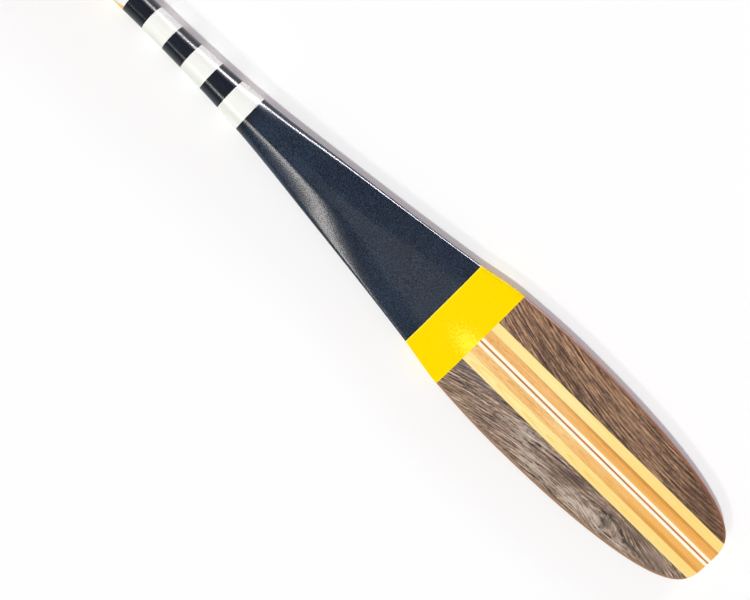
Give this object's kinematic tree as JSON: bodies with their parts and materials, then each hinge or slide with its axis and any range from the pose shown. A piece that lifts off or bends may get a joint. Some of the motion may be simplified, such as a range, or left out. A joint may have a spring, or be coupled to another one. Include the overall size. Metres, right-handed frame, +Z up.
{
  "type": "canoe paddle",
  "caption": "Laminated wooden canoe paddle with a long round-tipped blade, an oval shaft, a flared palm grip and painted bands.",
  "frame": {"origin": "on the floor under the middle of the paddle's length and width, the paddle lying level and face up", "axes": "+X along the paddle from the grip to the blade's tip, +Y across it, +Z up out of the blade's face"},
  "size_m": [1.473, 0.1344, 0.032],
  "materials": {
    "center_strip": "satin varnish over a thin red-brown strip",
    "maple": "satin varnish over pale maple",
    "shaft_walnut": "gloss varnish over red-brown walnut",
    "cherry": "satin varnish over orange cherry",
    "basswood": "satin varnish over pale yellow basswood",
    "blade_walnut": "satin varnish over grey-brown walnut",
    "grip_line": "gloss varnish over a thin walnut line",
    "grip_block": "gloss varnish over golden yellow wood",
    "grip_walnut": "gloss varnish over figured walnut"
  },
  "bodies": {
    "root": {"center_strip": "center_strip", "pinstripe_left": "maple", "pinstripe_right": "maple", "shaft_stave_left": "shaft_walnut", "shaft_stave_right": "shaft_walnut", "blade_stave_left": "cherry", "blade_stave_right": "cherry", "blade_strip_left": "basswood", "blade_strip_right": "basswood", "blade_wing_left": "blade_walnut", "blade_wing_right": "blade_walnut", "grip_pinstripe_left": "maple", "grip_pinstripe_right": "maple", "grip_line_left": "grip_line", "grip_line_right": "grip_line", "grip_block_left": "grip_block", "grip_block_right": "grip_block", "grip_cheek_left": "grip_walnut", "grip_cheek_right": "grip_walnut"}
  },
  "joints": []
}
